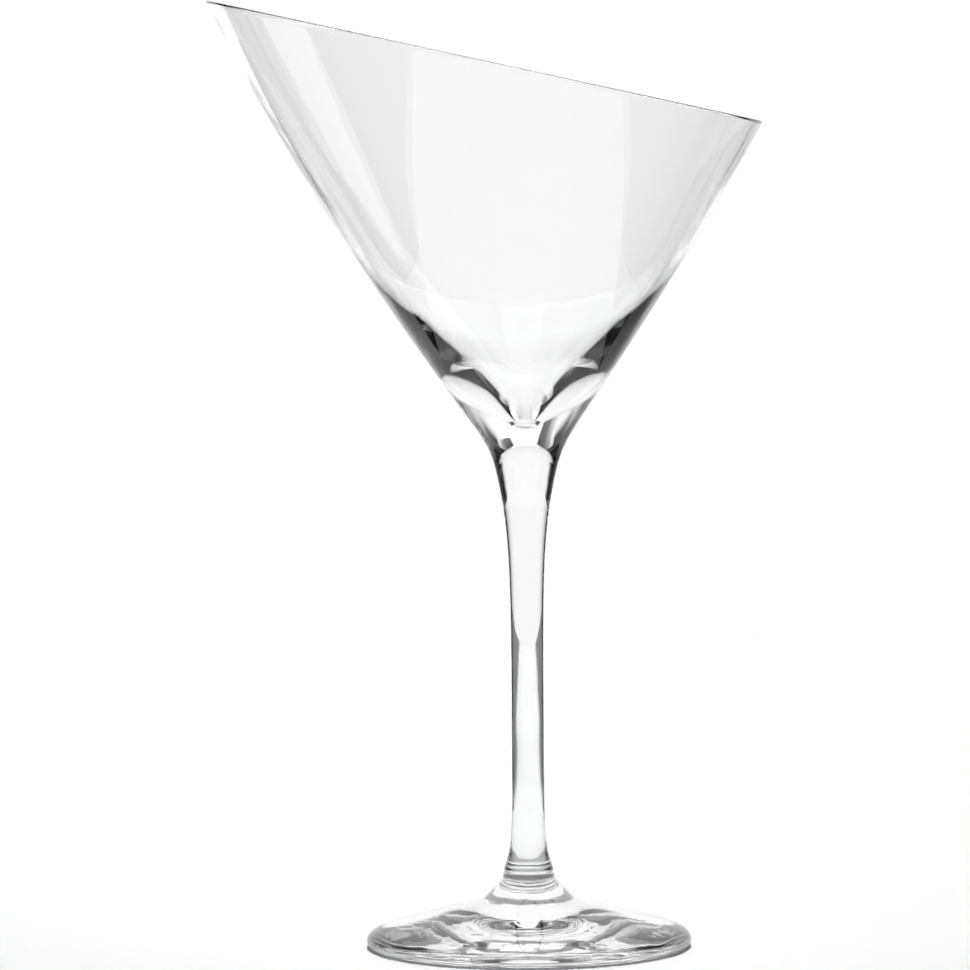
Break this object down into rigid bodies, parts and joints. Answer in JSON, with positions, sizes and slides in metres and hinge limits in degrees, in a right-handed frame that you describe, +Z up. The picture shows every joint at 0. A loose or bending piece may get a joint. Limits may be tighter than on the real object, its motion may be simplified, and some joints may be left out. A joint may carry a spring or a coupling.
{
  "type": "martini glass",
  "caption": "Stemmed cocktail glass with a clear conical bowl, a slanted rim, a slim waisted stem and a domed round foot.",
  "frame": {"origin": "centre of the flat ring that the foot rests on", "axes": "+Z up along the stem; -X towards the high side of the slanted rim; +Y away from the viewer of the front"},
  "size_m": [0.119, 0.1184, 0.2038],
  "materials": {
    "clear_glass": "fire-polished, clear"
  },
  "bodies": {
    "root": {"bowl": "clear_glass", "stem": "clear_glass", "foot": "clear_glass"}
  },
  "joints": []
}
